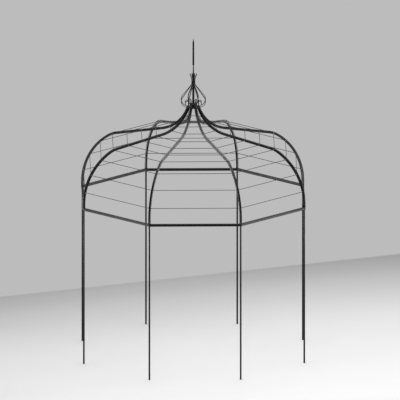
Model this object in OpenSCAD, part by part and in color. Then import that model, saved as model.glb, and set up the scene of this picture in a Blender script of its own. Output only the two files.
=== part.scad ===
// Octagonal metal gazebo: eight tube posts, a square-tube ring at head height, eight bent ribs
// that carry rows of plant wires, and a crown plate with an onion-shaped finial.
// The origin is on the ground at the centre of the plan, +Z is up and the front side faces -Y.

/* [Plan] */
// Distance across opposite corners, between post centres
across_corners = 3000; // [2700:50:3600]

/* [Posts] */
// Outside diameter of a post tube
post_d = 22; // [16:0.1:22]
// Height that a post reaches up inside the foot of its rib
post_socket = 65; // [40:1:70]
// Gap all round a post inside its rib
socket_gap = 0.2; // [0.1:0.05:0.5]

/* [Ring] */
// Height of the ring's centreline above the ground
ring_height = 2008; // [1850:1:2300]
// Width and depth of the square ring tube
ring_tube = 31; // [24:1:45]

/* [Ribs] */
// Width of a rib, across its side faces
rib_w = 25; // [24:0.5:36]
// Depth of a rib, from its outer face to its inner face
rib_d = 32; // [25:1:45]
// Height of a rib's straight foot above the ring's centreline
rib_foot = 60; // [60:1:150]
// Radius of the shoulder bend at the rib's centreline
shoulder_r = 752; // [650:1:800]
// Angle through which the shoulder bends
shoulder_sweep = 63; // [55:1:68]
// Slope of the straight roof stretch, in degrees
roof_pitch = 11; // [6:0.5:18]
// Radius of the upward sweep at the rib's centreline
sweep_r = 470; // [400:5:500]
// Slope at which a rib runs up to the crown, in degrees
crown_pitch = 66; // [58:1:72]
// Length of the straight stretch below the crown
crown_run = 46; // [40:1:80]
// Distance from the axis to the upper end of a rib's centreline
rib_top = 70; // [66:1:90]

/* [Wires] */
// Diameter of a plant wire
wire_d = 7; // [3:0.5:8]
// Number of wires in each roof panel
wire_count = 9; // [6:1:12]
// Number of wires at the wider spacing, counted up from the ring
low_wires = 3; // [1:1:4]
// Spacing of those lower wires, measured along the rib
low_wire_gap = 231; // [150:1:240]
// Distance along the rib from the top wire to the crown
top_wire_gap = 173; // [120:1:220]

/* [Crown] */
// Radius of the crown plate
plate_r = 88; // [88:1:120]
// Thickness of the crown plate
plate_t = 8; // [5:0.5:12]
// Radius of the hub under the plate
hub_r = 15; // [10:0.5:20]
// Height of the hub under the plate
hub_h = 22; // [12:1:30]

/* [Onion cage] */
// Thickness of a flat cage bar
cage_bar = 6; // [5:0.5:10]
// Width of a cage bar, across its flat faces
cage_width = 13; // [8:0.5:14]
// Greatest distance from the axis to a cage bar's centreline
cage_r = 165; // [155:1:200]
// Radius of the bend at the widest part of the cage
belly_r = 80; // [70:1:80]
// Gap between the foot of a crook and the inner end of its cage bar
foot_gap = 2; // [1:0.5:4]
// Slope of the straight stretch up to the neck, in degrees
cage_lean = 51; // [45:1:60]
// Radius of the bend into the neck
neck_bend_r = 60; // [40:1:70]
// Radius of the curve of the flared tips
flare_r = 196; // [150:1:260]
// Angle through which the tips flare out
flare_sweep = 28; // [15:1:35]

/* [Crook scrolls] */
// Thickness of a crook's bar, each way
crook_bar = 8; // [5:0.5:9]
// Distance from the axis to the foot of a crook
crook_foot_r = 68; // [60:1:69]
// Height of a crook's straight leg above the plate
crook_leg = 57; // [40:1:80]
// Radius of a crook's bend
crook_bend_r = 20; // [14:0.5:24]
// Length of the free end that hangs down from the bend
crook_drop = 24; // [0:1:30]

/* [Finial stem] */
// Radius of the stem inside the cage
stem_r = 14; // [8:0.5:15]
// Radius of the bead on the stem
knob_r = 17; // [16:0.5:24]
// Height of the bead's centre above the plate
knob_height = 68; // [40:1:120]
// Radius of the boss near the stem's foot
boss_r = 46; // [30:1:54]
// Thickness of that boss
boss_h = 10; // [6:1:16]
// Height of the boss's underside above the plate
boss_height = 30; // [10:1:36]
// Radius of the collar that the cage bars gather round
collar_r = 18.8; // [18:0.1:24]
// Height of that collar
collar_h = 18; // [10:1:30]
// Gap between the collar and each cage bar
collar_gap = 0.2; // [0.1:0.05:0.5]

/* [Upper finial] */
// Radius of the plain rod above the collar
rod_r = 8; // [5:0.5:9]
// Length of the rod from the collar up to the disc
lower_rod_h = 87; // [60:1:120]
// Radius of the disc between the flared tips
disc_r = 20; // [12:0.5:22]
// Thickness of that disc
disc_t = 10; // [4:0.5:14]
// Length of the rod from the disc up to the spear
upper_rod_h = 117; // [80:1:160]
// Radius of the rod's upper end, under the spear
rod_end_r = 6.5; // [4:0.5:7]
// Radius of the ring at the foot of the spear
bead_r = 13; // [12:0.5:20]
// Height of that ring
bead_h = 10; // [6:0.5:16]
// Radius of the spear's base
spear_base_r = 12; // [9:0.5:12]
// Length of the spear's base
spear_base_h = 95; // [60:1:140]
// Radius of the spear's shaft
spear_r = 11; // [7:0.5:11]
// Length of the taper between base and shaft
spear_taper_h = 25; // [10:1:40]
// Length of the spear's plain shaft
spear_shaft_h = 162; // [100:1:240]
// Length of the spear's point
spear_point_h = 51; // [30:1:80]

/* [Hidden] */
// Corners and sides are named counter-clockwise from the first corner past +X, seen from above.
CORNERS = ["right_back", "back_right", "back_left", "left_back",
           "left_front", "front_left", "front_right", "right_front"];
SIDES = ["back_right", "back", "back_left", "left",
         "front_left", "front", "front_right", "right"];
FINIAL = ["crown_plate", "crown_hub", "onion_cage", "crook_scrolls", "finial_stem",
          "cage_collar", "lower_rod", "rod_disc", "upper_rod", "spear_bead", "spear"];

steel = "#26282a";
$fn = 96;
bend_fn = 240;
joint_lap = 0.5;
joint_step = 0.01;

side_angle = 360 / len(SIDES);
half_side = side_angle / 2;
corner_r = across_corners / 2;

// Rib centreline, as [distance from the axis, height], from the foot up to the crown.
rib_bottom = ring_height - ring_tube / 2;
foot_end = [corner_r, ring_height + rib_foot];
shoulder_centre = foot_end - [shoulder_r, 0];
shoulder_end = shoulder_centre + shoulder_r * [cos(shoulder_sweep), sin(shoulder_sweep)];
sweep_end_r = rib_top + crown_run * cos(crown_pitch);
sweep_start_r = sweep_end_r + sweep_r * (sin(crown_pitch) - sin(roof_pitch));
roof_run = (shoulder_end[0] - sweep_start_r) / cos(roof_pitch);
sweep_start = shoulder_end + roof_run * [-cos(roof_pitch), sin(roof_pitch)];
sweep_centre = sweep_start + sweep_r * [sin(roof_pitch), cos(roof_pitch)];
sweep_end = sweep_centre - sweep_r * [sin(crown_pitch), cos(crown_pitch)];
crown_z = sweep_end[1] + crown_run * sin(crown_pitch);

// Lengths along the centreline, from the rib's foot to the end of each stretch.
foot_len = foot_end[1] - rib_bottom;
shoulder_len = foot_len + shoulder_r * shoulder_sweep * PI / 180;
roof_len = shoulder_len + roof_run;
sweep_len = roof_len + sweep_r * (crown_pitch - roof_pitch) * PI / 180;
rib_len = sweep_len + crown_run;

// Length along the rib of wire number i, counted up from the ring.
high_wire_gap = (rib_len - low_wires * low_wire_gap - top_wire_gap) / (wire_count - low_wires);
function wire_len(i) = i <= low_wires ? i * low_wire_gap
                                      : low_wires * low_wire_gap + (i - low_wires) * high_wire_gap;

// Slope of the shoulder and of the sweep at a length s along the rib.
function shoulder_angle(s) = (s - foot_len) / shoulder_r * 180 / PI;
function sweep_angle(s) = roof_pitch + (s - roof_len) / sweep_r * 180 / PI;

// Point of the rib's centreline at a length s from its foot.
function rib_point(s) =
    s < foot_len ? [corner_r, rib_bottom + s] :
    s < shoulder_len ? shoulder_centre + shoulder_r * [cos(shoulder_angle(s)), sin(shoulder_angle(s))] :
    s < roof_len ? shoulder_end + (s - shoulder_len) * [-cos(roof_pitch), sin(roof_pitch)] :
    s < sweep_len ? sweep_centre - sweep_r * [sin(sweep_angle(s)), cos(sweep_angle(s))] :
    sweep_end + (s - sweep_len) * [-cos(crown_pitch), sin(crown_pitch)];

// Half the clear width between two neighbouring ribs, at a distance x out along a side's middle line.
function half_width(x) = x * tan(half_side) - rib_w / 2 / cos(half_side);

// Cage bar's centreline, as [distance from the axis, height above the plate].
cage_foot_r = crook_foot_r + crook_bar / 2 + foot_gap;
belly_centre = [cage_r - belly_r, cage_bar / 2 + belly_r];
neck_r = collar_r + collar_gap + cage_bar / 2;
lean_start = belly_centre + belly_r * [sin(cage_lean), cos(cage_lean)];
lean_end_r = neck_r + neck_bend_r * (1 - sin(cage_lean));
lean_run = (lean_start[0] - lean_end_r) / cos(cage_lean);
lean_end = lean_start + lean_run * [-cos(cage_lean), sin(cage_lean)];
neck_z = lean_end[1] + neck_bend_r * cos(cage_lean);
neck_top = neck_z + collar_h;

// Heights up the crown and finial.
plate_top = crown_z + plate_t;
collar_z = plate_top + neck_z;
lower_rod_z = collar_z + collar_h;
disc_z = lower_rod_z + lower_rod_h;
upper_rod_z = disc_z + disc_t;
bead_z = upper_rod_z + upper_rod_h;
spear_z = bead_z + bead_h;

// Turns a piece that is drawn over the +X axis to the corner or to the side with number i.
module at_corner(i) { rotate([0, 0, half_side + i * side_angle]) children(); }
module at_side(i) { rotate([0, 0, (i + 1) * side_angle]) children(); }

// Side view of a bent stretch of bar: a band along an arc of up to 180 degrees. It is a hair
// thinner than the bar and reaches into the stretches beside it, so that its ends lie inside them.
module bend(centre, radius, from, sweep, depth) {
    reach = 2 * radius;
    lap = joint_lap / radius * 180 / PI;
    step = (sweep + 2 * lap) / 4;
    half_d = depth / 2 - joint_step;
    translate(centre)
        intersection() {
            difference() {
                circle(r = radius + half_d, $fn = bend_fn);
                circle(r = radius - half_d, $fn = bend_fn);
            }
            polygon([[0, 0], for (k = [0 : 4]) reach * [cos(from - lap + k * step), sin(from - lap + k * step)]]);
        }
}

// Side view of a straight stretch of bar, square to its ends.
module stretch(start, end, depth) {
    way = (end - start) / norm(end - start);
    side = depth / 2 * [-way[1], way[0]];
    polygon([start - side, end - side, end + side, start + side]);
}

// Bar of the given width whose side view is drawn over the +X axis, with the distance from the
// axis as x and the height as y.
module upright(width) { rotate([90, 0, 0]) linear_extrude(width, center = true) children(); }

// Side view of a rib. The roof stretch meets the shoulder in a mitre, and the top is cut level.
module rib_outline() {
    half_d = rib_d / 2;
    end_out = [cos(shoulder_sweep), sin(shoulder_sweep)];
    roof_out = [sin(roof_pitch), cos(roof_pitch)];
    crown_out = [sin(crown_pitch), cos(crown_pitch)];
    mitre = half_d / cos((90 - shoulder_sweep - roof_pitch) / 2);
    mitre_out = (end_out + roof_out) / norm(end_out + roof_out);
    level_half = half_d / sin(crown_pitch);

    stretch([corner_r, rib_bottom], foot_end, rib_d);
    bend(shoulder_centre, shoulder_r, 0, shoulder_sweep, rib_d);
    polygon([shoulder_end + half_d * end_out, shoulder_end + mitre * mitre_out,
             sweep_start + half_d * roof_out, sweep_start - half_d * roof_out,
             shoulder_end - half_d * roof_out]);
    bend(sweep_centre, sweep_r, 270 - crown_pitch, crown_pitch - roof_pitch, rib_d);
    polygon([sweep_end + half_d * crown_out, [rib_top + level_half, crown_z],
             [rib_top - level_half, crown_z], sweep_end - half_d * crown_out]);
}

// Round tube that stands on the ground and reaches up into the foot of a rib.
module post(i) {
    color(steel)
        at_corner(i)
            translate([corner_r, 0, 0])
                cylinder(d = post_d, h = rib_bottom + post_socket);
}

// Square tube between two ribs, with its ends cut along their side faces.
module ring_bar(i) {
    inner = corner_r * cos(half_side) - ring_tube / 2;
    outer = inner + ring_tube;
    color(steel)
        at_side(i)
            translate([0, 0, rib_bottom])
                linear_extrude(ring_tube)
                    polygon([[inner, -half_width(inner)], [outer, -half_width(outer)],
                             [outer, half_width(outer)], [inner, half_width(inner)]]);
}

// Bent rib with a blind socket in its foot for the post.
module rib(i) {
    color(steel)
        at_corner(i)
            difference() {
                upright(rib_w) rib_outline();
                translate([corner_r, 0, rib_bottom - 1])
                    cylinder(d = post_d + 2 * socket_gap, h = post_socket + 1);
            }
}

// Plant wires between two ribs, with their ends cut along the ribs' side faces.
module wires(i) {
    apex = rib_w / 2 / sin(half_side);
    color(steel)
        at_side(i)
            intersection() {
                for (k = [1 : wire_count]) {
                    p = rib_point(wire_len(k));
                    translate([p[0] * cos(half_side), 0, p[1]])
                        rotate([90, 0, 0])
                            cylinder(d = wire_d, h = across_corners / 2, center = true, $fn = 32);
                }
                translate([0, 0, rib_bottom])
                    linear_extrude(crown_z - rib_bottom)
                        polygon([[apex, 0], [corner_r, -half_width(corner_r)],
                                 [corner_r, half_width(corner_r)]]);
            }
}

// Round plate that closes the ribs' upper ends and carries the finial.
module crown_plate() {
    color(steel) translate([0, 0, crown_z]) cylinder(r = plate_r, h = plate_t);
}

// Tapered nut under the plate that holds the finial down.
module crown_hub() {
    color(steel)
        translate([0, 0, crown_z - hub_h])
            cylinder(r1 = hub_r / 2, r2 = hub_r, h = hub_h);
}

// Side view of a cage bar. It leaves the plate level, swells, gathers at the collar and flares out.
module cage_outline() {
    stretch([cage_foot_r, cage_bar / 2], belly_centre - [0, belly_r], cage_bar);
    bend(belly_centre, belly_r, -90, 180 - cage_lean, cage_bar);
    stretch(lean_start, lean_end, cage_bar);
    bend([neck_r + neck_bend_r, neck_z], neck_bend_r, 180, 90 - cage_lean, cage_bar);
    stretch([neck_r, neck_z], [neck_r, neck_top], cage_bar);
    bend([neck_r + flare_r, neck_top], flare_r, 180 - flare_sweep, flare_sweep, cage_bar);
}

// Side view of a crook: a straight leg, a bend over outwards and a free end.
module crook_outline() {
    tip_r = crook_foot_r + 2 * crook_bend_r;
    stretch([crook_foot_r, 0], [crook_foot_r, crook_leg], crook_bar);
    bend([crook_foot_r + crook_bend_r, crook_leg], crook_bend_r, 0, 180, crook_bar);
    stretch([tip_r, crook_leg - crook_drop], [tip_r, crook_leg], crook_bar);
}

// Onion-shaped cage of bars round the stem.
module onion_cage() {
    color(steel)
        for (i = [0 : len(CORNERS) - 1])
            at_corner(i) translate([0, 0, plate_top]) upright(cage_width) cage_outline();
}

// Crooks that stand on the plate inside the cage.
module crook_scrolls() {
    color(steel)
        for (i = [0 : len(CORNERS) - 1])
            at_corner(i) translate([0, 0, plate_top]) upright(crook_bar) crook_outline();
}

// Round stem from the plate to the collar, with a flat boss and a bead near its foot.
module finial_stem() {
    color(steel) {
        translate([0, 0, plate_top]) cylinder(r = stem_r, h = neck_z);
        translate([0, 0, plate_top + boss_height]) cylinder(r = boss_r, h = boss_h);
        translate([0, 0, plate_top + knob_height]) sphere(r = knob_r);
    }
}

// Collar that the cage bars gather round.
module cage_collar() {
    color(steel) translate([0, 0, collar_z]) cylinder(r = collar_r, h = collar_h);
}

// Plain rod from the collar to the disc.
module lower_rod() {
    color(steel) translate([0, 0, lower_rod_z]) cylinder(r = rod_r, h = lower_rod_h);
}

// Disc between the flared tips.
module rod_disc() {
    color(steel) translate([0, 0, disc_z]) cylinder(r = disc_r, h = disc_t);
}

// Tapered rod from the disc to the spear.
module upper_rod() {
    color(steel) translate([0, 0, upper_rod_z]) cylinder(r1 = rod_r, r2 = rod_end_r, h = upper_rod_h);
}

// Ring at the foot of the spear.
module spear_bead() {
    color(steel) translate([0, 0, bead_z]) cylinder(r = bead_r, h = bead_h);
}

// Spear: a stouter base, a plain shaft and a point.
module spear() {
    taper_z = spear_base_h + spear_taper_h;
    point_z = taper_z + spear_shaft_h;
    color(steel)
        translate([0, 0, spear_z])
            rotate_extrude()
                polygon([[0, 0], [spear_base_r, 0], [spear_base_r, spear_base_h], [spear_r, taper_z],
                         [spear_r, point_z], [0, point_z + spear_point_h]]);
}

for (i = [0 : len(CORNERS) - 1]) {
    post(i);
    ring_bar(i);
    rib(i);
    wires(i);
}
crown_plate();
crown_hub();
onion_cage();
crook_scrolls();
finial_stem();
cage_collar();
lower_rod();
rod_disc();
upper_rod();
spear_bead();
spear();
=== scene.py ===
import math

import bpy
from mathutils import Matrix, Vector


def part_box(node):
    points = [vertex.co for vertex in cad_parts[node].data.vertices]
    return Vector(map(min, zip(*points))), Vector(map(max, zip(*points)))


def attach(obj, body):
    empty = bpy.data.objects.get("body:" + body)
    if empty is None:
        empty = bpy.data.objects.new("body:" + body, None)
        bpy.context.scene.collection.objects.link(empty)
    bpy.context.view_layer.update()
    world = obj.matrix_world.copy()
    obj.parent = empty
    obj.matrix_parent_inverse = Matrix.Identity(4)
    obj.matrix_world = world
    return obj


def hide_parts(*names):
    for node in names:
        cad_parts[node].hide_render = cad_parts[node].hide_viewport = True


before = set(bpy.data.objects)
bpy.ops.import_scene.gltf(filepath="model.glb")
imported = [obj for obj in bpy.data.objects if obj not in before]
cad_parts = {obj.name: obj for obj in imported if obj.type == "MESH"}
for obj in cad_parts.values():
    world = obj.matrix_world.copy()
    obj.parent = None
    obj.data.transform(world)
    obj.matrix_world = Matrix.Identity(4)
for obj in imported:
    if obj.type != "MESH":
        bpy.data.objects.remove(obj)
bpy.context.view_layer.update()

# Camera: a view from the front, 14.64 degrees above the horizon and a touch to the left, with
# parallel lines kept parallel as in an elevation drawing. Lengths are in metres throughout.
elevation, turn = math.radians(14.64), math.radians(0.9)
view_width, view_shift, view_height, camera_distance = 5.0295486, 0.08374, 1.9728, 12
right = Vector((math.cos(turn), -math.sin(turn), 0))
look = Vector((math.sin(turn) * math.cos(elevation), math.cos(turn) * math.cos(elevation),
               -math.sin(elevation)))
camera = bpy.data.objects.new("camera", bpy.data.cameras.new("camera"))
bpy.context.scene.collection.objects.link(camera)
camera.data.type = "ORTHO"
camera.data.ortho_scale = view_width
camera.location = right * view_shift + Vector((0, 0, view_height)) - look * camera_distance
camera.rotation_mode = "QUATERNION"
camera.rotation_quaternion = look.to_track_quat("-Z", "Y")
camera.data.clip_end = 60
bpy.context.scene.camera = camera
bpy.context.scene.view_settings.view_transform = "Standard"


# Posts: eight lengths of 22 x 2 mm drawn steel tube, sawn square and deburred. The open foot stands
# on the ground and the upper end slides up inside the foot of a rib. Powder coated after sawing.
corners = ["right_back", "back_right", "back_left", "left_back",
           "left_front", "front_left", "front_right", "right_front"]
corner_r = 1.5
post_low, post_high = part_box("post_right_back")
post_r = (post_high[0] - post_low[0]) / 2
post_wall, post_bore, post_rim = 0.002, 0.08, 0.0006


def corner_turn(k):
    # Azimuth of a corner of the octagon, in degrees.
    return 22.5 + 45 * k


def turned(name, steps, sides=40):
    # A round piece on the axis, drawn through steps of (height, radius) and closed at both ends.
    bpy.ops.object.select_all(action="DESELECT")
    bpy.ops.mesh.primitive_circle_add(vertices=sides, radius=steps[0][1], fill_type="NGON",
                                      location=(0, 0, steps[0][0]))
    piece = bpy.context.object
    piece.name = piece.data.name = name
    bpy.ops.object.transform_apply(location=True, rotation=True, scale=True)
    bpy.ops.object.mode_set(mode="EDIT")
    bpy.ops.mesh.select_all(action="SELECT")
    for (z0, r0), (z1, r1) in zip(steps, steps[1:]):
        bpy.ops.mesh.extrude_region_move(TRANSFORM_OT_translate={"value": (0, 0, z1 - z0)})
        bpy.ops.transform.resize(value=(r1 / r0, r1 / r0, 1), center_override=(0, 0, z1))
    bpy.ops.mesh.select_all(action="SELECT")
    bpy.ops.mesh.normals_make_consistent(inside=False)
    bpy.ops.object.mode_set(mode="OBJECT")
    bpy.ops.object.shade_smooth_by_angle(angle=math.radians(32))
    return piece


def rub(piece, rubbed):
    # Marks the faces of a piece where hands, ties and weather rub its coat.
    mark = piece.data.attributes.new("rub", "FLOAT", "FACE")
    for face in piece.data.polygons:
        mark.data[face.index].value = 1.0 if rubbed(face) else 0.0


def on_rim(face):
    # The eased rims of a turned piece slope, and its walls and ends don't.
    return 0.15 < abs(face.normal.z) < 0.97


def copied(piece, name, azimuth, distance=0):
    # A copy with its own mesh, carried out along +X and then turned about the axis.
    copy = bpy.data.objects.new(name, piece.data.copy())
    bpy.context.scene.collection.objects.link(copy)
    copy.data.transform(Matrix.Rotation(math.radians(azimuth), 4, "Z")
                        @ Matrix.Translation((distance, 0, 0)))
    return copy


def linear(colour):
    # The linear values, with alpha, of a colour written in sRGB.
    channels = [int(colour[k:k + 2], 16) / 255 for k in (1, 3, 5)]
    return [c / 12.92 if c < 0.04045 else ((c + 0.055) / 1.055) ** 2.4 for c in channels] + [1]


def add_node(material, kind, settings=None, links=None):
    # Settings go to the node's inputs, or else to the node itself.
    node = material.node_tree.nodes.new(kind)
    for name, value in (settings or {}).items():
        if isinstance(name, int) or name in node.inputs.keys():
            node.inputs[name].default_value = value
        else:
            setattr(node, name, value)
    for name, source in (links or {}).items():
        material.node_tree.links.new(source, node.inputs[name])
    return node


def new_material(name):
    material = bpy.data.materials.new(name)
    material.use_nodes = True
    material.node_tree.nodes.clear()
    return material


def powder_coat(name, dark, light, rubbed, top_light_and_dust, gloss, peel, relief):
    # A coat between two tones in clouds 70 mm across. It goes greyer and shinier where it is
    # rubbed, and it is paler on what faces upwards: partly grey dust of the open air, partly
    # painted light from above. The film melts to a faint orange peel.
    coat = new_material(name)
    place = add_node(coat, "ShaderNodeTexCoord")
    cloud = add_node(coat, "ShaderNodeTexNoise", {"Scale": 14, "Detail": 3, "Roughness": 0.6},
                     {"Vector": place.outputs["Object"]})
    film = add_node(coat, "ShaderNodeMix",
                    {"data_type": "RGBA", 6: linear(dark), 7: linear(light)},
                    {0: cloud.outputs["Fac"]})
    fleck = add_node(coat, "ShaderNodeTexNoise", {"Scale": 60, "Detail": 4, "Roughness": 0.7},
                     {"Vector": place.outputs["Object"]})
    facing = add_node(coat, "ShaderNodeSeparateXYZ", links={0: place.outputs["Normal"]})
    level = add_node(coat, "ShaderNodeMapRange",
                     {"From Min": 0.5, "From Max": 1.0, "To Max": top_light_and_dust},
                     {"Value": facing.outputs[2]})
    painted_top_light_and_dust = add_node(coat, "ShaderNodeMath", {"operation": "MULTIPLY"},
                     {0: level.outputs[0], 1: fleck.outputs["Fac"]})
    # Upward faces go paler grey: partly dust, partly painted light from above.
    top_lit_and_dusted = add_node(coat, "ShaderNodeMix", {"data_type": "RGBA", 7: linear("#747472")},
                      {0: painted_top_light_and_dust.outputs[0], 6: film.outputs[2]})
    mark = add_node(coat, "ShaderNodeAttribute", {"attribute_name": "rub"})
    patch = add_node(coat, "ShaderNodeMapRange", {"From Min": 0.42, "From Max": 0.62},
                     {"Value": fleck.outputs["Fac"]})
    wear = add_node(coat, "ShaderNodeMath", {"operation": "MULTIPLY"},
                    {0: mark.outputs["Fac"], 1: patch.outputs[0]})
    colour = add_node(coat, "ShaderNodeMix", {"data_type": "RGBA", 7: linear(rubbed)},
                      {0: wear.outputs[0], 6: top_lit_and_dusted.outputs[2]})
    uneven = add_node(coat, "ShaderNodeMapRange", {"To Min": gloss[0], "To Max": gloss[1]},
                      {"Value": cloud.outputs["Fac"]})
    polish = add_node(coat, "ShaderNodeMath", {"operation": "MULTIPLY_ADD", 1: -0.08},
                      {0: wear.outputs[0], 2: uneven.outputs[0]})
    skin = add_node(coat, "ShaderNodeTexNoise", {"Scale": peel, "Detail": 1},
                    {"Vector": place.outputs["Object"]})
    bump = add_node(coat, "ShaderNodeBump", {"Strength": 0.25, "Distance": relief},
                    {"Height": skin.outputs["Fac"]})
    shade = add_node(coat, "ShaderNodeBsdfPrincipled", {"Specular IOR Level": 0.15},
                     {"Base Color": colour.outputs[2], "Roughness": polish.outputs[0],
                      "Normal": bump.outputs[0]})
    add_node(coat, "ShaderNodeOutputMaterial", links={"Surface": shade.outputs[0]})
    return coat


# Satin anthracite powder coat: nearly black with a soft gloss. The peel is 1 to 2 mm on the real
# coat and is drawn at 6 mm, so that it shows.
# Its upward faces are paler: partly dust, partly painted light from above.
tube_coat = powder_coat("satin anthracite powder coat on tube", dark="#0d0e0f", light="#161718",
                        rubbed="#333332", top_light_and_dust=0.2, gloss=(0.24, 0.38), peel=170, relief=0.0002)

tube = turned("post_tube", [(post_bore, post_r - post_wall), (0.0, post_r - post_wall),
                            (0.0, post_r - post_rim), (post_rim, post_r),
                            (post_high[2] - post_rim, post_r), (post_high[2], post_r - post_rim)],
              sides=48)
rub(tube, on_rim)
tube.data.materials.append(tube_coat)
for k, corner in enumerate(corners):
    post = copied(tube, f"{corner}_post", corner_turn(k), corner_r)
    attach(post, "root")
    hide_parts(f"post_{corner}")
bpy.data.objects.remove(tube)


# Ribs: eight lengths of 32 x 25 mm rectangular steel tube, each rolled in one piece: a straight
# foot, a wide shoulder that tightens at its top, the roof stretch and the sweep up to the crown. A
# socket in the foot takes the post, and the upper end is welded to the crown plate.
rib_w, rib_d, rib_corner = 0.025, 0.032, 0.004
rib_low, rib_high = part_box("rib_right_back")
foot_z, shoulder_r, shoulder_sweep, knee_r = 2.068, 0.752, 63, 0.3
roof_pitch, sweep_r, crown_pitch, crown_run, rib_top = 11, 0.47, 66, 0.046, 0.07
socket_gap, crown_weld_r, crown_weld_sink, saw_waste = 0.0002, 0.0018, 0.0012, 0.02


def slope(angle):
    # Unit step inwards and up along a slope, in degrees.
    return Vector((-math.cos(math.radians(angle)), 0, math.sin(math.radians(angle))))


def square(angle):
    # Unit step square to that slope, outwards and up.
    return Vector((math.sin(math.radians(angle)), 0, math.cos(math.radians(angle))))


shoulder_middle = Vector((corner_r - shoulder_r, 0, foot_z))
shoulder_end = shoulder_middle + shoulder_r * square(90 - shoulder_sweep)
sweep_end_r = rib_top + crown_run * math.cos(math.radians(crown_pitch))
sweep_start_r = sweep_end_r + sweep_r * (math.sin(math.radians(crown_pitch))
                                         - math.sin(math.radians(roof_pitch)))
roof_run = (shoulder_end.x - sweep_start_r) / math.cos(math.radians(roof_pitch))
sweep_start = shoulder_end + roof_run * slope(roof_pitch)
sweep_middle = sweep_start + sweep_r * square(roof_pitch)


def bar_blank(name, start, lay, depth, width, corner, segments=3):
    # The sawn end of a bar with rounded corners, laid from upright by the turns in degrees.
    bpy.ops.object.select_all(action="DESELECT")
    bpy.ops.mesh.primitive_plane_add(size=1)
    piece = bpy.context.object
    piece.name = piece.data.name = name
    piece.scale = (depth, width, 1)
    bpy.ops.object.transform_apply(location=False, rotation=False, scale=True)
    bpy.ops.object.mode_set(mode="EDIT")
    bpy.ops.mesh.select_all(action="SELECT")
    bpy.ops.mesh.bevel(offset=corner, segments=segments, affect="VERTICES")
    bpy.ops.object.mode_set(mode="OBJECT")
    piece.location = start
    piece.rotation_euler = [math.radians(angle) for angle in lay]
    bpy.ops.object.transform_apply(location=True, rotation=True, scale=True)
    bpy.ops.object.mode_set(mode="EDIT")
    bpy.ops.mesh.select_all(action="SELECT")
    return piece


def run(step):
    # Draws the bar on in a straight line.
    bpy.ops.mesh.extrude_region_move(TRANSFORM_OT_translate={"value": step})


def bend(middle, angle, steps):
    # Rolls the bar on round a centre: a positive angle bends it inwards and down.
    bpy.ops.mesh.spin(steps=steps, angle=math.radians(angle), center=middle, axis=(0, 1, 0))


def saw(point, waste):
    # Saws the whole bar through a point and drops the part on the waste side.
    bpy.ops.mesh.select_all(action="SELECT")
    bpy.ops.mesh.bisect(plane_co=point, plane_no=waste, use_fill=True, clear_outer=True)


def finish_bar(piece, narrow):
    # Closes a bar, smooths its rounded corners and leaves its flats flat. The corners are rubbed:
    # their faces have a side shorter than the narrow limit.
    bpy.ops.mesh.select_all(action="SELECT")
    bpy.ops.mesh.remove_doubles(threshold=0.00001)
    bpy.ops.mesh.normals_make_consistent(inside=False)
    bpy.ops.object.mode_set(mode="OBJECT")
    bpy.ops.object.shade_smooth_by_angle(angle=math.radians(40))
    piece.modifiers.new("flats", "WEIGHTED_NORMAL").keep_sharp = True
    bpy.ops.object.modifier_apply(modifier="flats")
    points = [vertex.co for vertex in piece.data.vertices]

    def on_corner(face):
        ring = [points[v] for v in face.vertices]
        shortest = min((b - a).length for a, b in zip(ring, ring[1:] + ring[:1]))
        return shortest < narrow and len(ring) == 4

    rub(piece, on_corner)


def weld_bead(name, points, size):
    # A closed run of weld laid through the points, with the ripple of one drop after another.
    drop_gap, thin_drop = 0.003, 0.78
    path = bpy.data.curves.new(name, "CURVE")
    path.dimensions = "3D"
    path.bevel_depth = size
    path.bevel_resolution = 1
    line = path.splines.new("POLY")
    loop = []
    for a, b in zip(points, points[1:] + points[:1]):
        drops = max(1, round((b - a).length / drop_gap))
        loop += [a.lerp(b, n / drops) for n in range(drops)]
    line.points.add(len(loop) - 1)
    for n, (spot, point) in enumerate(zip(line.points, loop)):
        spot.co = (*point, 1)
        spot.radius = 1.0 if n % 2 else thin_drop
    line.use_cyclic_u = True
    bead = bpy.data.objects.new(name, path)
    bpy.context.scene.collection.objects.link(bead)
    bpy.ops.object.select_all(action="DESELECT")
    bead.select_set(True)
    bpy.context.view_layer.objects.active = bead
    bpy.ops.object.convert(target="MESH")
    bpy.ops.object.shade_smooth()
    bead = bpy.context.object
    rub(bead, lambda face: face.index % 3 == 0)
    return bead


def round_corners(depth, width, corner):
    # Eight points round a bar's section, where its flats end.
    half = [(depth / 2, width / 2 - corner), (depth / 2 - corner, width / 2),
            (corner - depth / 2, width / 2), (-depth / 2, width / 2 - corner)]
    return half + [(a, -b) for a, b in reversed(half)]


def joined(name, pieces):
    # Makes one mesh of the pieces.
    bpy.ops.object.select_all(action="DESELECT")
    for piece in pieces:
        piece.select_set(True)
    bpy.context.view_layer.objects.active = pieces[0]
    bpy.ops.object.join()
    pieces[0].name = pieces[0].data.name = name
    return pieces[0]


def coated(piece, coat):
    # Gives every face of a piece the one coat.
    piece.data.materials.clear()
    piece.data.materials.append(coat)
    for face in piece.data.polygons:
        face.material_index = 0


# The knee is a tighter arc that touches both the shoulder and the roof stretch.
knee_reach = shoulder_r * square(90 - shoulder_sweep) - knee_r * square(roof_pitch)
half_way = -knee_reach.dot(slope(roof_pitch))
knee_run = half_way - math.sqrt(half_way ** 2 - knee_reach.length_squared
                                + (shoulder_r - knee_r) ** 2)
knee_middle = shoulder_end + knee_run * slope(roof_pitch) - knee_r * square(roof_pitch)
knee_start = math.degrees(math.atan2(knee_middle.z - foot_z, knee_middle.x - shoulder_middle.x))

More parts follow.
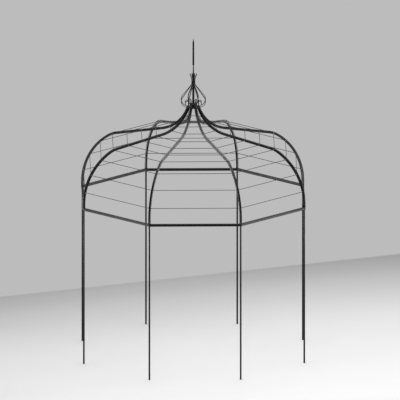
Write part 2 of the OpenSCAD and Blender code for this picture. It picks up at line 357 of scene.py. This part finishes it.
rib = bar_blank("rib", Vector((corner_r, 0, rib_low[2])), (0, 0, 0), rib_d, rib_w, rib_corner)
run((0, 0, foot_z - rib_low[2]))
bend(shoulder_middle, knee_start, 36)
bend(knee_middle, 90 - roof_pitch - knee_start, 14)
run((roof_run - knee_run) * slope(roof_pitch))
bend(sweep_middle, roof_pitch - crown_pitch, 36)
run((crown_run + saw_waste) * slope(crown_pitch))
saw(Vector((0, 0, rib_high[2])), Vector((0, 0, 1)))
finish_bar(rib, 0.003)

bpy.ops.object.select_all(action="DESELECT")
bpy.ops.mesh.primitive_cylinder_add(vertices=48, radius=post_r + socket_gap,
                                    depth=2 * (post_high[2] - rib_low[2]),
                                    location=(corner_r, 0, rib_low[2]))
drill = bpy.context.object
socket = rib.modifiers.new("socket", "BOOLEAN")
socket.operation = "DIFFERENCE"
socket.object = drill
bpy.context.view_layer.objects.active = rib
bpy.ops.object.modifier_apply(modifier="socket")
bpy.data.objects.remove(drill)

top_depth = rib_d / math.sin(math.radians(crown_pitch))
top_seam = weld_bead("crown_weld", [Vector((rib_top + a, b, rib_high[2] - crown_weld_sink))
                                    for a, b in round_corners(top_depth, rib_w, rib_corner)],
                     crown_weld_r)
rib = joined("rib", [rib, top_seam])
coated(rib, tube_coat)
for k, corner in enumerate(corners):
    piece = copied(rib, f"{corner}_rib", corner_turn(k))
    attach(piece, "root")
    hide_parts(f"rib_{corner}")
bpy.data.objects.remove(rib)


# Ring bars: eight lengths of 31 x 31 x 2 mm square steel tube at head height. Their ends are mitre
# sawn to lie flat against the ribs' side faces, and welded to them all round.
sides = ["back_right", "back", "back_left", "left", "front_left", "front", "front_right", "right"]
ring_low, ring_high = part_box("ring_bar_left")
ring_tube, ring_corner, ring_blank = ring_high[2] - ring_low[2], 0.003, 1.3
ring_r = -(ring_low[0] + ring_high[0]) / 2
ring_z = (ring_low[2] + ring_high[2]) / 2
ring_weld_r, ring_weld_sink = 0.0018, 0.0006
tilt = math.radians(corner_turn(0))
rib_face = Vector((-math.sin(tilt), math.cos(tilt), 0))


def side_turn(k):
    # Azimuth of the middle of a side of the octagon, in degrees.
    return 45 * (k + 1)


def face_y(x):
    # Half the clear width between two ribs, at a distance x out along the middle line of a side.
    return x * math.tan(tilt) - rib_w / 2 / math.cos(tilt)


def into_rib(end):
    # The way into the rib's side face, at the +Y end (1) or the -Y end (-1) of a side.
    return Vector((rib_face.x, end * rib_face.y, 0))


bar = bar_blank("ring_bar", Vector((ring_r, ring_blank / 2, ring_z)), (90, 0, 0), ring_tube,
                ring_tube, ring_corner)
run((0, -ring_blank, 0))
for end in (1, -1):
    saw(Vector((ring_r, end * face_y(ring_r), ring_z)), into_rib(end))
finish_bar(bar, 0.0026)
welds = [weld_bead("ring_weld", [Vector((ring_r + a, end * (face_y(ring_r + a) - ring_weld_sink),
                                         ring_z + b))
                                 for a, b in round_corners(ring_tube, ring_tube, ring_corner)],
                   ring_weld_r) for end in (1, -1)]
bar = joined("ring_bar", [bar] + welds)
coated(bar, tube_coat)
for k, side in enumerate(sides):
    piece = copied(bar, f"{side}_ring_bar", side_turn(k))
    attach(piece, "root")
    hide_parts(f"ring_bar_{side}")
bpy.data.objects.remove(bar)


# Plant wires: nine straight 7 mm drawn steel rods across each roof panel, closer together from the
# fourth one up. Each is sawn to fit between two ribs and coated in the same anthracite.
wire_r, wire_count, low_wires, low_gap, top_gap = 0.0035, 9, 3, 0.231, 0.173
foot_len = foot_z - rib_low[2]
shoulder_len = foot_len + shoulder_r * math.radians(shoulder_sweep)
roof_len = shoulder_len + roof_run
sweep_len = roof_len + sweep_r * math.radians(crown_pitch - roof_pitch)
rib_len = sweep_len + crown_run
high_gap = (rib_len - low_wires * low_gap - top_gap) / (wire_count - low_wires)


def rib_point(length):
    # A point of a rib's middle line, at a length along it from its foot.
    if length < shoulder_len:
        angle = math.degrees((length - foot_len) / shoulder_r)
        return shoulder_middle + shoulder_r * square(90 - angle)
    if length < roof_len:
        return shoulder_end + (length - shoulder_len) * slope(roof_pitch)
    if length < sweep_len:
        angle = math.degrees((length - roof_len) / sweep_r)
        return sweep_middle - sweep_r * square(roof_pitch + angle)
    return (sweep_middle - sweep_r * square(crown_pitch)
            + (length - sweep_len) * slope(crown_pitch))


wire_lengths = [low_gap * n for n in range(1, low_wires + 1)]
wire_lengths += [wire_lengths[-1] + high_gap * n for n in range(1, wire_count - low_wires + 1)]
wire_spots = [Vector((p.x * math.cos(tilt), 0, p.z)) for p in map(rib_point, wire_lengths)]

# The coat on the wires is thinner and a touch paler, and its peel is finer; it is drawn at 4 mm.
# Its upward faces are paler: partly dust, partly painted light from above.
wire_coat = powder_coat("satin anthracite powder coat on drawn wire", dark="#101112",
                        light="#191a1b", rubbed="#3a3a39", top_light_and_dust=0.25, gloss=(0.28, 0.42), peel=250,
                        relief=0.0001)
rods = []
for spot in wire_spots:
    bpy.ops.object.select_all(action="DESELECT")
    bpy.ops.mesh.primitive_cylinder_add(vertices=12, radius=wire_r, depth=2 * spot.x, location=spot,
                                        rotation=(math.radians(90), 0, 0))
    rod = bpy.context.object
    bpy.ops.object.transform_apply(location=True, rotation=True, scale=True)
    bpy.ops.object.mode_set(mode="EDIT")
    for end in (1, -1):
        saw(Vector((spot.x, end * face_y(spot.x), spot.z)), into_rib(end))
    bpy.ops.mesh.select_all(action="SELECT")
    bpy.ops.mesh.normals_make_consistent(inside=False)
    bpy.ops.object.mode_set(mode="OBJECT")
    bpy.ops.object.shade_smooth_by_angle(angle=math.radians(40))
    rub(rod, lambda face: face.normal.z > 0.4)
    rods.append(rod)
panel = joined("wires", rods)
coated(panel, wire_coat)
for k, side in enumerate(sides):
    piece = copied(panel, f"{side}_wires", side_turn(k))
    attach(piece, "root")
    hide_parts(f"wires_{side}")
bpy.data.objects.remove(panel)


# Ferrules: a small zinc-plated steel bush at each end of each wire, pressed into the rib's side
# face. They are the only bright metal on the gazebo and show as a row of pale dots along each rib.
ferrule_r, ferrule_h, ferrule_rim = 0.005, 0.003, 0.0008
ferrule_taper, ferrule_lip, ferrule_hollow = 0.84, 0.0009, 0.0008
bpy.ops.object.select_all(action="DESELECT")
bpy.ops.mesh.primitive_circle_add(vertices=12, radius=ferrule_r, fill_type="NGON")
bush = bpy.context.object
bpy.ops.object.mode_set(mode="EDIT")
bpy.ops.mesh.select_all(action="SELECT")
run((0, 0, ferrule_h - ferrule_rim))
run((0, 0, ferrule_rim))
bpy.ops.transform.resize(value=(ferrule_taper, ferrule_taper, 1), center_override=(0, 0, ferrule_h))
bpy.ops.mesh.inset(thickness=ferrule_lip)
run((0, 0, -ferrule_hollow))
bpy.ops.mesh.select_all(action="SELECT")
bpy.ops.mesh.normals_make_consistent(inside=False)
bpy.ops.object.mode_set(mode="OBJECT")
bpy.ops.object.shade_smooth_by_angle(angle=math.radians(40))

# Bright zinc plate: a pale bluish grey metal that dulls in patches to a chalky bloom, about 2 mm
# across on the real ones and drawn at 4 mm.
zinc = new_material("bright zinc plate")
place = add_node(zinc, "ShaderNodeTexCoord")
bloom = add_node(zinc, "ShaderNodeTexNoise", {"Scale": 260, "Detail": 3, "Roughness": 0.6},
                 {"Vector": place.outputs["Object"]})
colour = add_node(zinc, "ShaderNodeMix",
                  {"data_type": "RGBA", 6: linear("#c3c6ca"), 7: linear("#9b9d9e")},
                  {0: bloom.outputs["Fac"]})
dull = add_node(zinc, "ShaderNodeMapRange", {"To Min": 0.3, "To Max": 0.6},
                {"Value": bloom.outputs["Fac"]})
grain = add_node(zinc, "ShaderNodeBump", {"Strength": 0.2, "Distance": 0.0001},
                 {"Height": bloom.outputs["Fac"]})
shade = add_node(zinc, "ShaderNodeBsdfPrincipled", {"Metallic": 1.0},
                 {"Base Color": colour.outputs[2], "Roughness": dull.outputs[0],
                  "Normal": grain.outputs[0]})
add_node(zinc, "ShaderNodeOutputMaterial", links={"Surface": shade.outputs[0]})

bushes = []
for spot in wire_spots:
    for end in (1, -1):
        seat = bpy.data.objects.new("ferrule", bush.data.copy())
        bpy.context.scene.collection.objects.link(seat)
        seat.data.transform(Matrix.Translation((spot.x, end * face_y(spot.x), spot.z))
                            @ (-into_rib(end)).to_track_quat("Z", "X").to_matrix().to_4x4())
        bushes.append(seat)
bpy.data.objects.remove(bush)
panel = joined("ferrules", bushes)
coated(panel, zinc)
for k, side in enumerate(sides):
    piece = copied(panel, f"{side}_ferrules", side_turn(k))
    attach(piece, "root")
bpy.data.objects.remove(panel)


# Crown plate: a round of 8 mm steel plate, cut by flame and ground smooth, with eased rims. It
# closes the ribs' upper ends, which are welded to its underside, and carries the finial.
plate_low, plate_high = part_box("crown_plate")
plate_r = plate_high[0]
crown_z, plate_top, plate_flat_r = plate_low[2], plate_high[2], 0.04


def eased(low, high, r, ease=0.0012):
    # The steps of a turned piece with an eased rim at each end.
    return [(low, r - ease), (low + ease / 3, r - ease / 3), (low + ease, r),
            (high - ease, r), (high - ease / 3, r - ease / 3), (high, r - ease)]


# Satin black powder coat on the crown and the wrought bars: the hammer's flats show through it, 15
# to 20 mm across, and the top of the plate, facing straight up, is palest: partly dust, partly
# painted light from above.
wrought_coat = powder_coat("satin black powder coat on wrought bar", dark="#0b0b0c",
                           light="#131414", rubbed="#2e2e2d", top_light_and_dust=0.2, gloss=(0.4, 0.55), peel=60,
                           relief=0.0006)
plate = turned("crown_disc", eased(crown_z, plate_top, plate_r) + [(plate_top, plate_flat_r)],
               sides=72)
rub(plate, on_rim)
coated(plate, wrought_coat)
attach(plate, "root")
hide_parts("crown_plate")


# Hub: the finial's threaded stud comes through the plate and is drawn up by a hexagon nut on a
# washer. All three are coated with the crown.
hub_low, hub_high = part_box("crown_hub")
hub_r = hub_high[0]
washer_z, chamfer_z, nut_z = crown_z - 0.0025, crown_z - 0.0110, crown_z - 0.0125
washer_ease, nut_r, nut_chamfer_r = 0.0005, hub_r - 0.0015, hub_r - 0.0035
thread_r, thread_root_r, thread_step = 0.0068, 0.0061, 0.0014
washer = turned("hub_washer", [(crown_z, hub_r), (washer_z + washer_ease, hub_r),
                               (washer_z, hub_r - washer_ease)])
rub(washer, on_rim)
nut = turned("hub_nut", [(washer_z, nut_r), (chamfer_z, nut_r), (nut_z, nut_chamfer_r)], sides=6)
bpy.ops.object.shade_flat()
rub(nut, on_rim)
thread = [(nut_z - thread_step * (n + 0.5), thread_r if n % 2 else thread_root_r)
          for n in range(5)]
stud_end = [(hub_low[2] + 0.0008, 0.0066), (hub_low[2], 0.0056)]
stud = turned("hub_stud", [(nut_z, thread_r)] + thread + stud_end, sides=24)
rub(stud, on_rim)
hub = joined("crown_nut", [washer, nut, stud])
coated(hub, wrought_coat)
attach(hub, "root")
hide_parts("crown_hub")


# Crooks: eight upside-down J shapes of 8 mm square bar, bent hot over a horn and drawn down at the
# free end. They stand in a ring inside the cage, welded to the plate.
crook_bar, crook_foot_r, crook_leg, crook_bend_r, crook_drop = 0.008, 0.068, 0.057, 0.02, 0.024
crook_corner, crook_draw, crook_point = 0.0014, 0.005, 0.6
crook_weld_r, crook_weld_z = 0.0015, 0.0008
crook_foot = Vector((crook_foot_r, 0, plate_top))
crook_end = crook_foot + Vector((2 * crook_bend_r, 0, crook_leg - crook_drop))
crook = bar_blank("crook", crook_foot, (0, 0, 0), crook_bar, crook_bar, crook_corner, segments=2)
run((0, 0, crook_leg))
bend(crook_foot + Vector((crook_bend_r, 0, crook_leg)), -180, 20)
run((0, 0, crook_draw - crook_drop))
run((0, 0, -crook_draw))
bpy.ops.transform.resize(value=(crook_point, crook_point, 1), center_override=crook_end)
finish_bar(crook, 0.0013)
crook_weld = weld_bead("crook_weld", [crook_foot + Vector((a, b, crook_weld_z))
                                      for a, b in round_corners(crook_bar, crook_bar, 0.001)],
                       crook_weld_r)
crook = joined("crook", [crook, crook_weld])
crooks = joined("crown_crooks", [copied(crook, f"crook_{k}", corner_turn(k)) for k in range(8)])
bpy.data.objects.remove(crook)
coated(crooks, wrought_coat)
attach(crooks, "root")
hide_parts("crook_scrolls")


# Onion cage: eight flat bars of 13 x 6 mm with rounded edges, bent hot on a jig. Each leaves the
# plate level, swells round the crooks, gathers against the collar and flares to a drawn-down tip.
cage_bar, cage_width, cage_edge, cage_r, belly_r = 0.006, 0.013, 0.0022, 0.165, 0.08
cage_foot_r, cage_lean, neck_bend_r, flare_r, flare_sweep = 0.074, 51, 0.06, 0.196, 28
cage_gap, tip_len, cage_weld_r, cage_weld_len = 0.0002, 0.006, 0.0014, 0.008
collar_low, collar_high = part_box("cage_collar")
collar_r, collar_h = collar_high[0], collar_high[2] - collar_low[2]
neck_r = collar_r + cage_gap + cage_bar / 2
cage_foot = Vector((cage_foot_r, 0, plate_top + cage_bar / 2))
belly_middle = Vector((cage_r - belly_r, 0, cage_foot.z + belly_r))
lean_start = belly_middle + belly_r * square(cage_lean)
neck_in = neck_bend_r * (1 - math.sin(math.radians(cage_lean)))
lean_run = (lean_start.x - neck_r - neck_in) / math.cos(math.radians(cage_lean))
flare_middle = Vector((neck_r + flare_r, 0, collar_high[2]))
cage = bar_blank("cage_bar", cage_foot, (0, 90, 0), cage_bar, cage_width, cage_edge, segments=2)
run((belly_middle.x - cage_foot_r, 0, 0))
bend(belly_middle, 180 - cage_lean, 40)
run(lean_run * slope(cage_lean))
bend(Vector((neck_r + neck_bend_r, 0, collar_low[2])), cage_lean - 90, 10)
run((0, 0, collar_h))
bend(flare_middle, -flare_sweep, 12)
tip = tip_len * square(flare_sweep)
run(tip)
bpy.ops.transform.resize(value=(0.7, 0.5, 0.9),
                         center_override=flare_middle + flare_r * square(flare_sweep - 90) + tip)
finish_bar(cage, 0.002)
cage_seam = Vector((cage_foot_r + 0.0035, 0, plate_top + 0.0006))
cage_weld = weld_bead("cage_weld", [cage_seam + Vector((a, b, 0))
                                    for a, b in round_corners(cage_weld_len, cage_width, 0.001)],
                      cage_weld_r)
cage = joined("cage_bar", [cage, cage_weld])
onion = joined("crown_onion", [copied(cage, f"cage_bar_{k}", corner_turn(k)) for k in range(8)])
bpy.data.objects.remove(cage)
coated(onion, wrought_coat)
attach(onion, "root")
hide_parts("onion_cage")


# Stem: a turned steel bar up the middle of the cage, with a flat boss and a ball near its foot and
# a weld round it at the plate.
stem_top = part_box("finial_stem")[1][2]
stem_r, knob_r, knob_z, neck_step = 0.014, 0.017, plate_top + 0.068, 0.0002
boss_r, boss_low, boss_high, boss_edge = 0.046, plate_top + 0.03, plate_top + 0.04, 0.0025
boss_chamfer, stem_weld_r, stem_weld_z, stem_weld_out = 0.0008, 0.002, 0.0008, 0.0005
boss = [(boss_low, stem_r), (boss_low + 0.0001, boss_r - boss_edge),
        (boss_low + boss_chamfer, boss_r - boss_chamfer), (boss_low + boss_edge, boss_r),
        (boss_high - boss_edge, boss_r), (boss_high - boss_chamfer, boss_r - boss_chamfer),
        (boss_high - 0.0001, boss_r - boss_edge), (boss_high, stem_r)]
ball = [(knob_z + knob_r * math.sin(math.radians(a)), knob_r * math.cos(math.radians(a)))
        for a in range(-30, 31, 10)]
ball_low, ball_high = ball[0][0], ball[-1][0]
stem = turned("stem_bar", [(plate_top, stem_r)] + boss + [(ball_low - 0.001, stem_r + neck_step)]
              + ball + [(ball_high + 0.001, stem_r + neck_step), (ball_high + 0.003, stem_r),
                        (stem_top, stem_r)])
rub(stem, on_rim)
stem_weld = weld_bead("stem_weld", [Vector((math.cos(a) * (stem_r + stem_weld_out),
                                            math.sin(a) * (stem_r + stem_weld_out),
                                            plate_top + stem_weld_z))
                                    for a in (n * math.pi / 6 for n in range(12))], stem_weld_r)
stem = joined("finial_bar", [stem, stem_weld])
coated(stem, wrought_coat)
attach(stem, "root")
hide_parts("finial_stem")


# Collar: a turned steel sleeve with a groove round its middle, which the cage bars are gathered
# against.
collar_z, groove_deep = collar_low[2], 0.0009
collar_ends = eased(collar_z, collar_high[2], collar_r)
groove = [(collar_z + 0.0075, collar_r), (collar_z + 0.0083, collar_r - groove_deep),
          (collar_z + 0.0097, collar_r - groove_deep), (collar_z + 0.0105, collar_r)]
collar = turned("gathering_collar", collar_ends[:3] + groove + collar_ends[3:])
rub(collar, on_rim)
coated(collar, wrought_coat)
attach(collar, "root")
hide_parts("cage_collar")


# Lower rod: plain turned steel, screwed into the top of the stem, with a small flange at each end
# where it meets the stem and the disc.
lower_low, lower_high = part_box("lower_rod")
rod_r, flange_out, flange_h = lower_high[0], 0.002, 0.002


def flange(z, way):
    # The steps of a rod's flanged end at a height, drawn away from it up (1) or down (-1).
    return [(z, rod_r + flange_out), (z + way * flange_h, rod_r + 0.9 * flange_out),
            (z + 2 * way * flange_h, rod_r)]


lower_rod = turned("plain_rod", flange(lower_low[2], 1) + flange(lower_high[2], -1)[::-1], sides=32)
rub(lower_rod, on_rim)
coated(lower_rod, wrought_coat)
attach(lower_rod, "root")
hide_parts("lower_rod")


# Disc: a disc of turned steel with a half-round edge, bored through its middle and threaded on
# between the two rods.
def round_edged(name, node):
    # A turned disc with a half-round edge, as wide and as thick as its node.
    low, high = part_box(node)
    middle, half = (low[2] + high[2]) / 2, (high[2] - low[2]) / 2
    return turned(name, [(middle + half * math.sin(a), high[0] - half * (1 - math.cos(a)))
                         for a in map(math.radians, range(-90, 91, 15))])


disc = round_edged("finial_disc", "rod_disc")
rub(disc, on_rim)
coated(disc, wrought_coat)
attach(disc, "root")
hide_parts("rod_disc")


# Upper rod: turned steel with a flange on the disc. It tapers upwards and opens a little under the
# ring.
upper_low, upper_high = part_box("upper_rod")
rod_end_r, rod_seat_r, rod_seat_h = 0.0065, 0.0075, 0.003
rod_seat = [(upper_high[2] - rod_seat_h, rod_end_r), (upper_high[2], rod_seat_r)]
upper_rod = turned("tapered_rod", flange(upper_low[2], 1) + rod_seat, sides=32)
rub(upper_rod, on_rim)
coated(upper_rod, wrought_coat)
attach(upper_rod, "root")
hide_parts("upper_rod")


# Ring: a narrow ring of turned steel with a half-round edge, drawn tight between the upper rod and
# the foot of the spear.
ring_bead = round_edged("spear_ring", "spear_bead")
rub(ring_bead, on_rim)
coated(ring_bead, wrought_coat)
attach(ring_bead, "root")
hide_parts("spear_bead")


# Spear: one steel bar, forged and then turned, stouter at its base, with eased shoulders and a
# blunted point. It is screwed down on the ring and ends the finial.
spear_low, spear_high = (corner[2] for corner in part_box("spear"))
base_r, shaft_r = 0.012, 0.011
base_top, taper_top, shaft_top = spear_low + 0.095, spear_low + 0.120, spear_low + 0.282
spear = turned("spear_point", [(spear_low, base_r - 0.0015), (spear_low + 0.0005, base_r - 0.0005),
                               (spear_low + 0.0015, base_r), (base_top, base_r),
                               (base_top + 0.004, base_r - 0.0001),
                               (taper_top - 0.004, shaft_r + 0.0001), (taper_top, shaft_r),
                               (shaft_top, shaft_r), (shaft_top + 0.004, shaft_r - 0.0005),
                               (spear_high - 0.004, 0.0011), (spear_high - 0.0008, 0.0006),
                               (spear_high, 0.0002)], sides=32)
rub(spear, on_rim)
coated(spear, wrought_coat)
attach(spear, "root")
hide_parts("spear")


# Studio floor: matt paint that runs from mid grey at the wall line to nearly white in front; the
# grey towards the wall is painted shade, where the light falls off. The wall line runs slantwise
# behind the gazebo, and the floor ends there.
floor_size, floor_end, floor_solid = 10.6, -3.50, -3.43
bpy.ops.object.select_all(action="DESELECT")
bpy.ops.mesh.primitive_plane_add(size=floor_size)
floor = bpy.context.object
floor.name = floor.data.name = "studio_floor"
paint = new_material("matt studio floor paint")
place = add_node(paint, "ShaderNodeTexCoord")

# Pairs of a distance and the paint's tone there. Distances are measured towards the front from a
# line through the middle of the floor that runs along with the wall line.
painted_floor_tones = [(-3.464, 0.391), (-3.4, 0.411), (-3.25, 0.431), (-3, 0.454), (-2.75, 0.492),
         (-2.5, 0.529), (-2, 0.585), (-1.5, 0.653), (-1, 0.713), (-0.5, 0.763), (0, 0.796),
         (0.5, 0.833), (1, 0.862), (1.5, 0.908), (2, 0.934), (2.8, 1.000)]
back, front = painted_floor_tones[0][0], painted_floor_tones[-1][0]
ahead = add_node(paint, "ShaderNodeVectorMath",
                 {"operation": "DOT_PRODUCT", 1: (0.3767, -0.9263, 0)},
                 {0: place.outputs["Object"]})
depth = add_node(paint, "ShaderNodeMapRange", {"From Min": back, "From Max": front},
                 {"Value": ahead.outputs["Value"]})
# The ramp paints the floor's shade, deepening from the front towards the wall line.
tone = add_node(paint, "ShaderNodeValToRGB", links={"Fac": depth.outputs[0]})
ramp = tone.color_ramp
while len(ramp.elements) < len(painted_floor_tones):
    ramp.elements.new(0.5)
for element, (spot, level) in zip(ramp.elements, painted_floor_tones):
    element.position = (spot - back) / (front - back)
    element.color = (level, level, level, 1)
matt = add_node(paint, "ShaderNodeBsdfDiffuse", links={"Color": tone.outputs["Color"]})
clear = add_node(paint, "ShaderNodeBsdfTransparent")
fade = add_node(paint, "ShaderNodeMapRange", {"From Min": floor_end, "From Max": floor_solid},
                {"Value": ahead.outputs["Value"]})
cover = add_node(paint, "ShaderNodeMixShader",
                 links={0: fade.outputs[0], 1: clear.outputs[0], 2: matt.outputs[0]})
add_node(paint, "ShaderNodeOutputMaterial", links={"Surface": cover.outputs[0]})
floor.data.materials.append(paint)


# Studio wall and lamps: a plain grey wall all round, darker above so that the coats keep their
# black. A wide softbox overhead lights the floor, and strips at the sides and behind light the
# bars' edges.
world = bpy.data.worlds.new("studio wall")
bpy.context.scene.world = world
world.use_nodes = True
world.node_tree.nodes.clear()
way = add_node(world, "ShaderNodeTexCoord")
height = add_node(world, "ShaderNodeSeparateXYZ", links={0: way.outputs["Generated"]})
ceiling = add_node(world, "ShaderNodeMapRange", {"From Min": 0.02, "From Max": 0.2},
                   {"Value": height.outputs[2]})
wall = add_node(world, "ShaderNodeMix",
                {"data_type": "RGBA", 6: linear("#bcbcbc"), 7: (0.2, 0.2, 0.2, 1)},
                {0: ceiling.outputs[0]})
glow = add_node(world, "ShaderNodeBackground", {"Strength": 1}, {"Color": wall.outputs[2]})
add_node(world, "ShaderNodeOutputWorld", links={"Surface": glow.outputs[0]})

# The strips are shaded off the floor, so that it stays evenly lit from above.
shaded = bpy.data.collections.new("shaded from the strips")
shaded.objects.link(floor)
shaded.collection_objects[0].light_linking.link_state = "EXCLUDE"


def softbox(name, size, place, aim, radiance, shade_floor=True):
    # A rectangular lamp that the camera doesn't see, turned from its place to its aim.
    lamp = bpy.data.lights.new(name, "AREA")
    lamp.shape = "RECTANGLE"
    lamp.size, lamp.size_y = size
    lamp.energy = radiance * math.pi * size[0] * size[1]
    box = bpy.data.objects.new(name, lamp)
    bpy.context.scene.collection.objects.link(box)
    box.location = place
    box.rotation_mode = "QUATERNION"
    box.rotation_quaternion = (Vector(aim) - Vector(place)).to_track_quat("-Z", "Y")
    box.visible_camera = False
    if shade_floor:
        box.light_linking.receiver_collection = shaded


softbox("right softbox", (6.2, 0.7), (4.6, -1.5, 0.85), (0, -1.5, 0.85), 9.5)
softbox("back right softbox", (5.5, 0.9), (9.5, 9.5, -0.7), (0, 0, -0.7), 5.6)
softbox("left softbox", (6.2, 0.5), (-4.6, -1.5, 0.75), (0, -1.5, 0.75), 13)
softbox("back left softbox", (5.5, 0.9), (-9.5, 9.5, -0.7), (0, 0, -0.7), 5.6)
softbox("high back softbox", (7.0, 2.0), (0, 7.4, 9.4), (0, -0.6, 3.5), 4.4)
softbox("overhead softbox", (9.5, 9.5), (0.3, 0.7, 8), (0.3, 0.7, 0), 3.1, shade_floor=False)
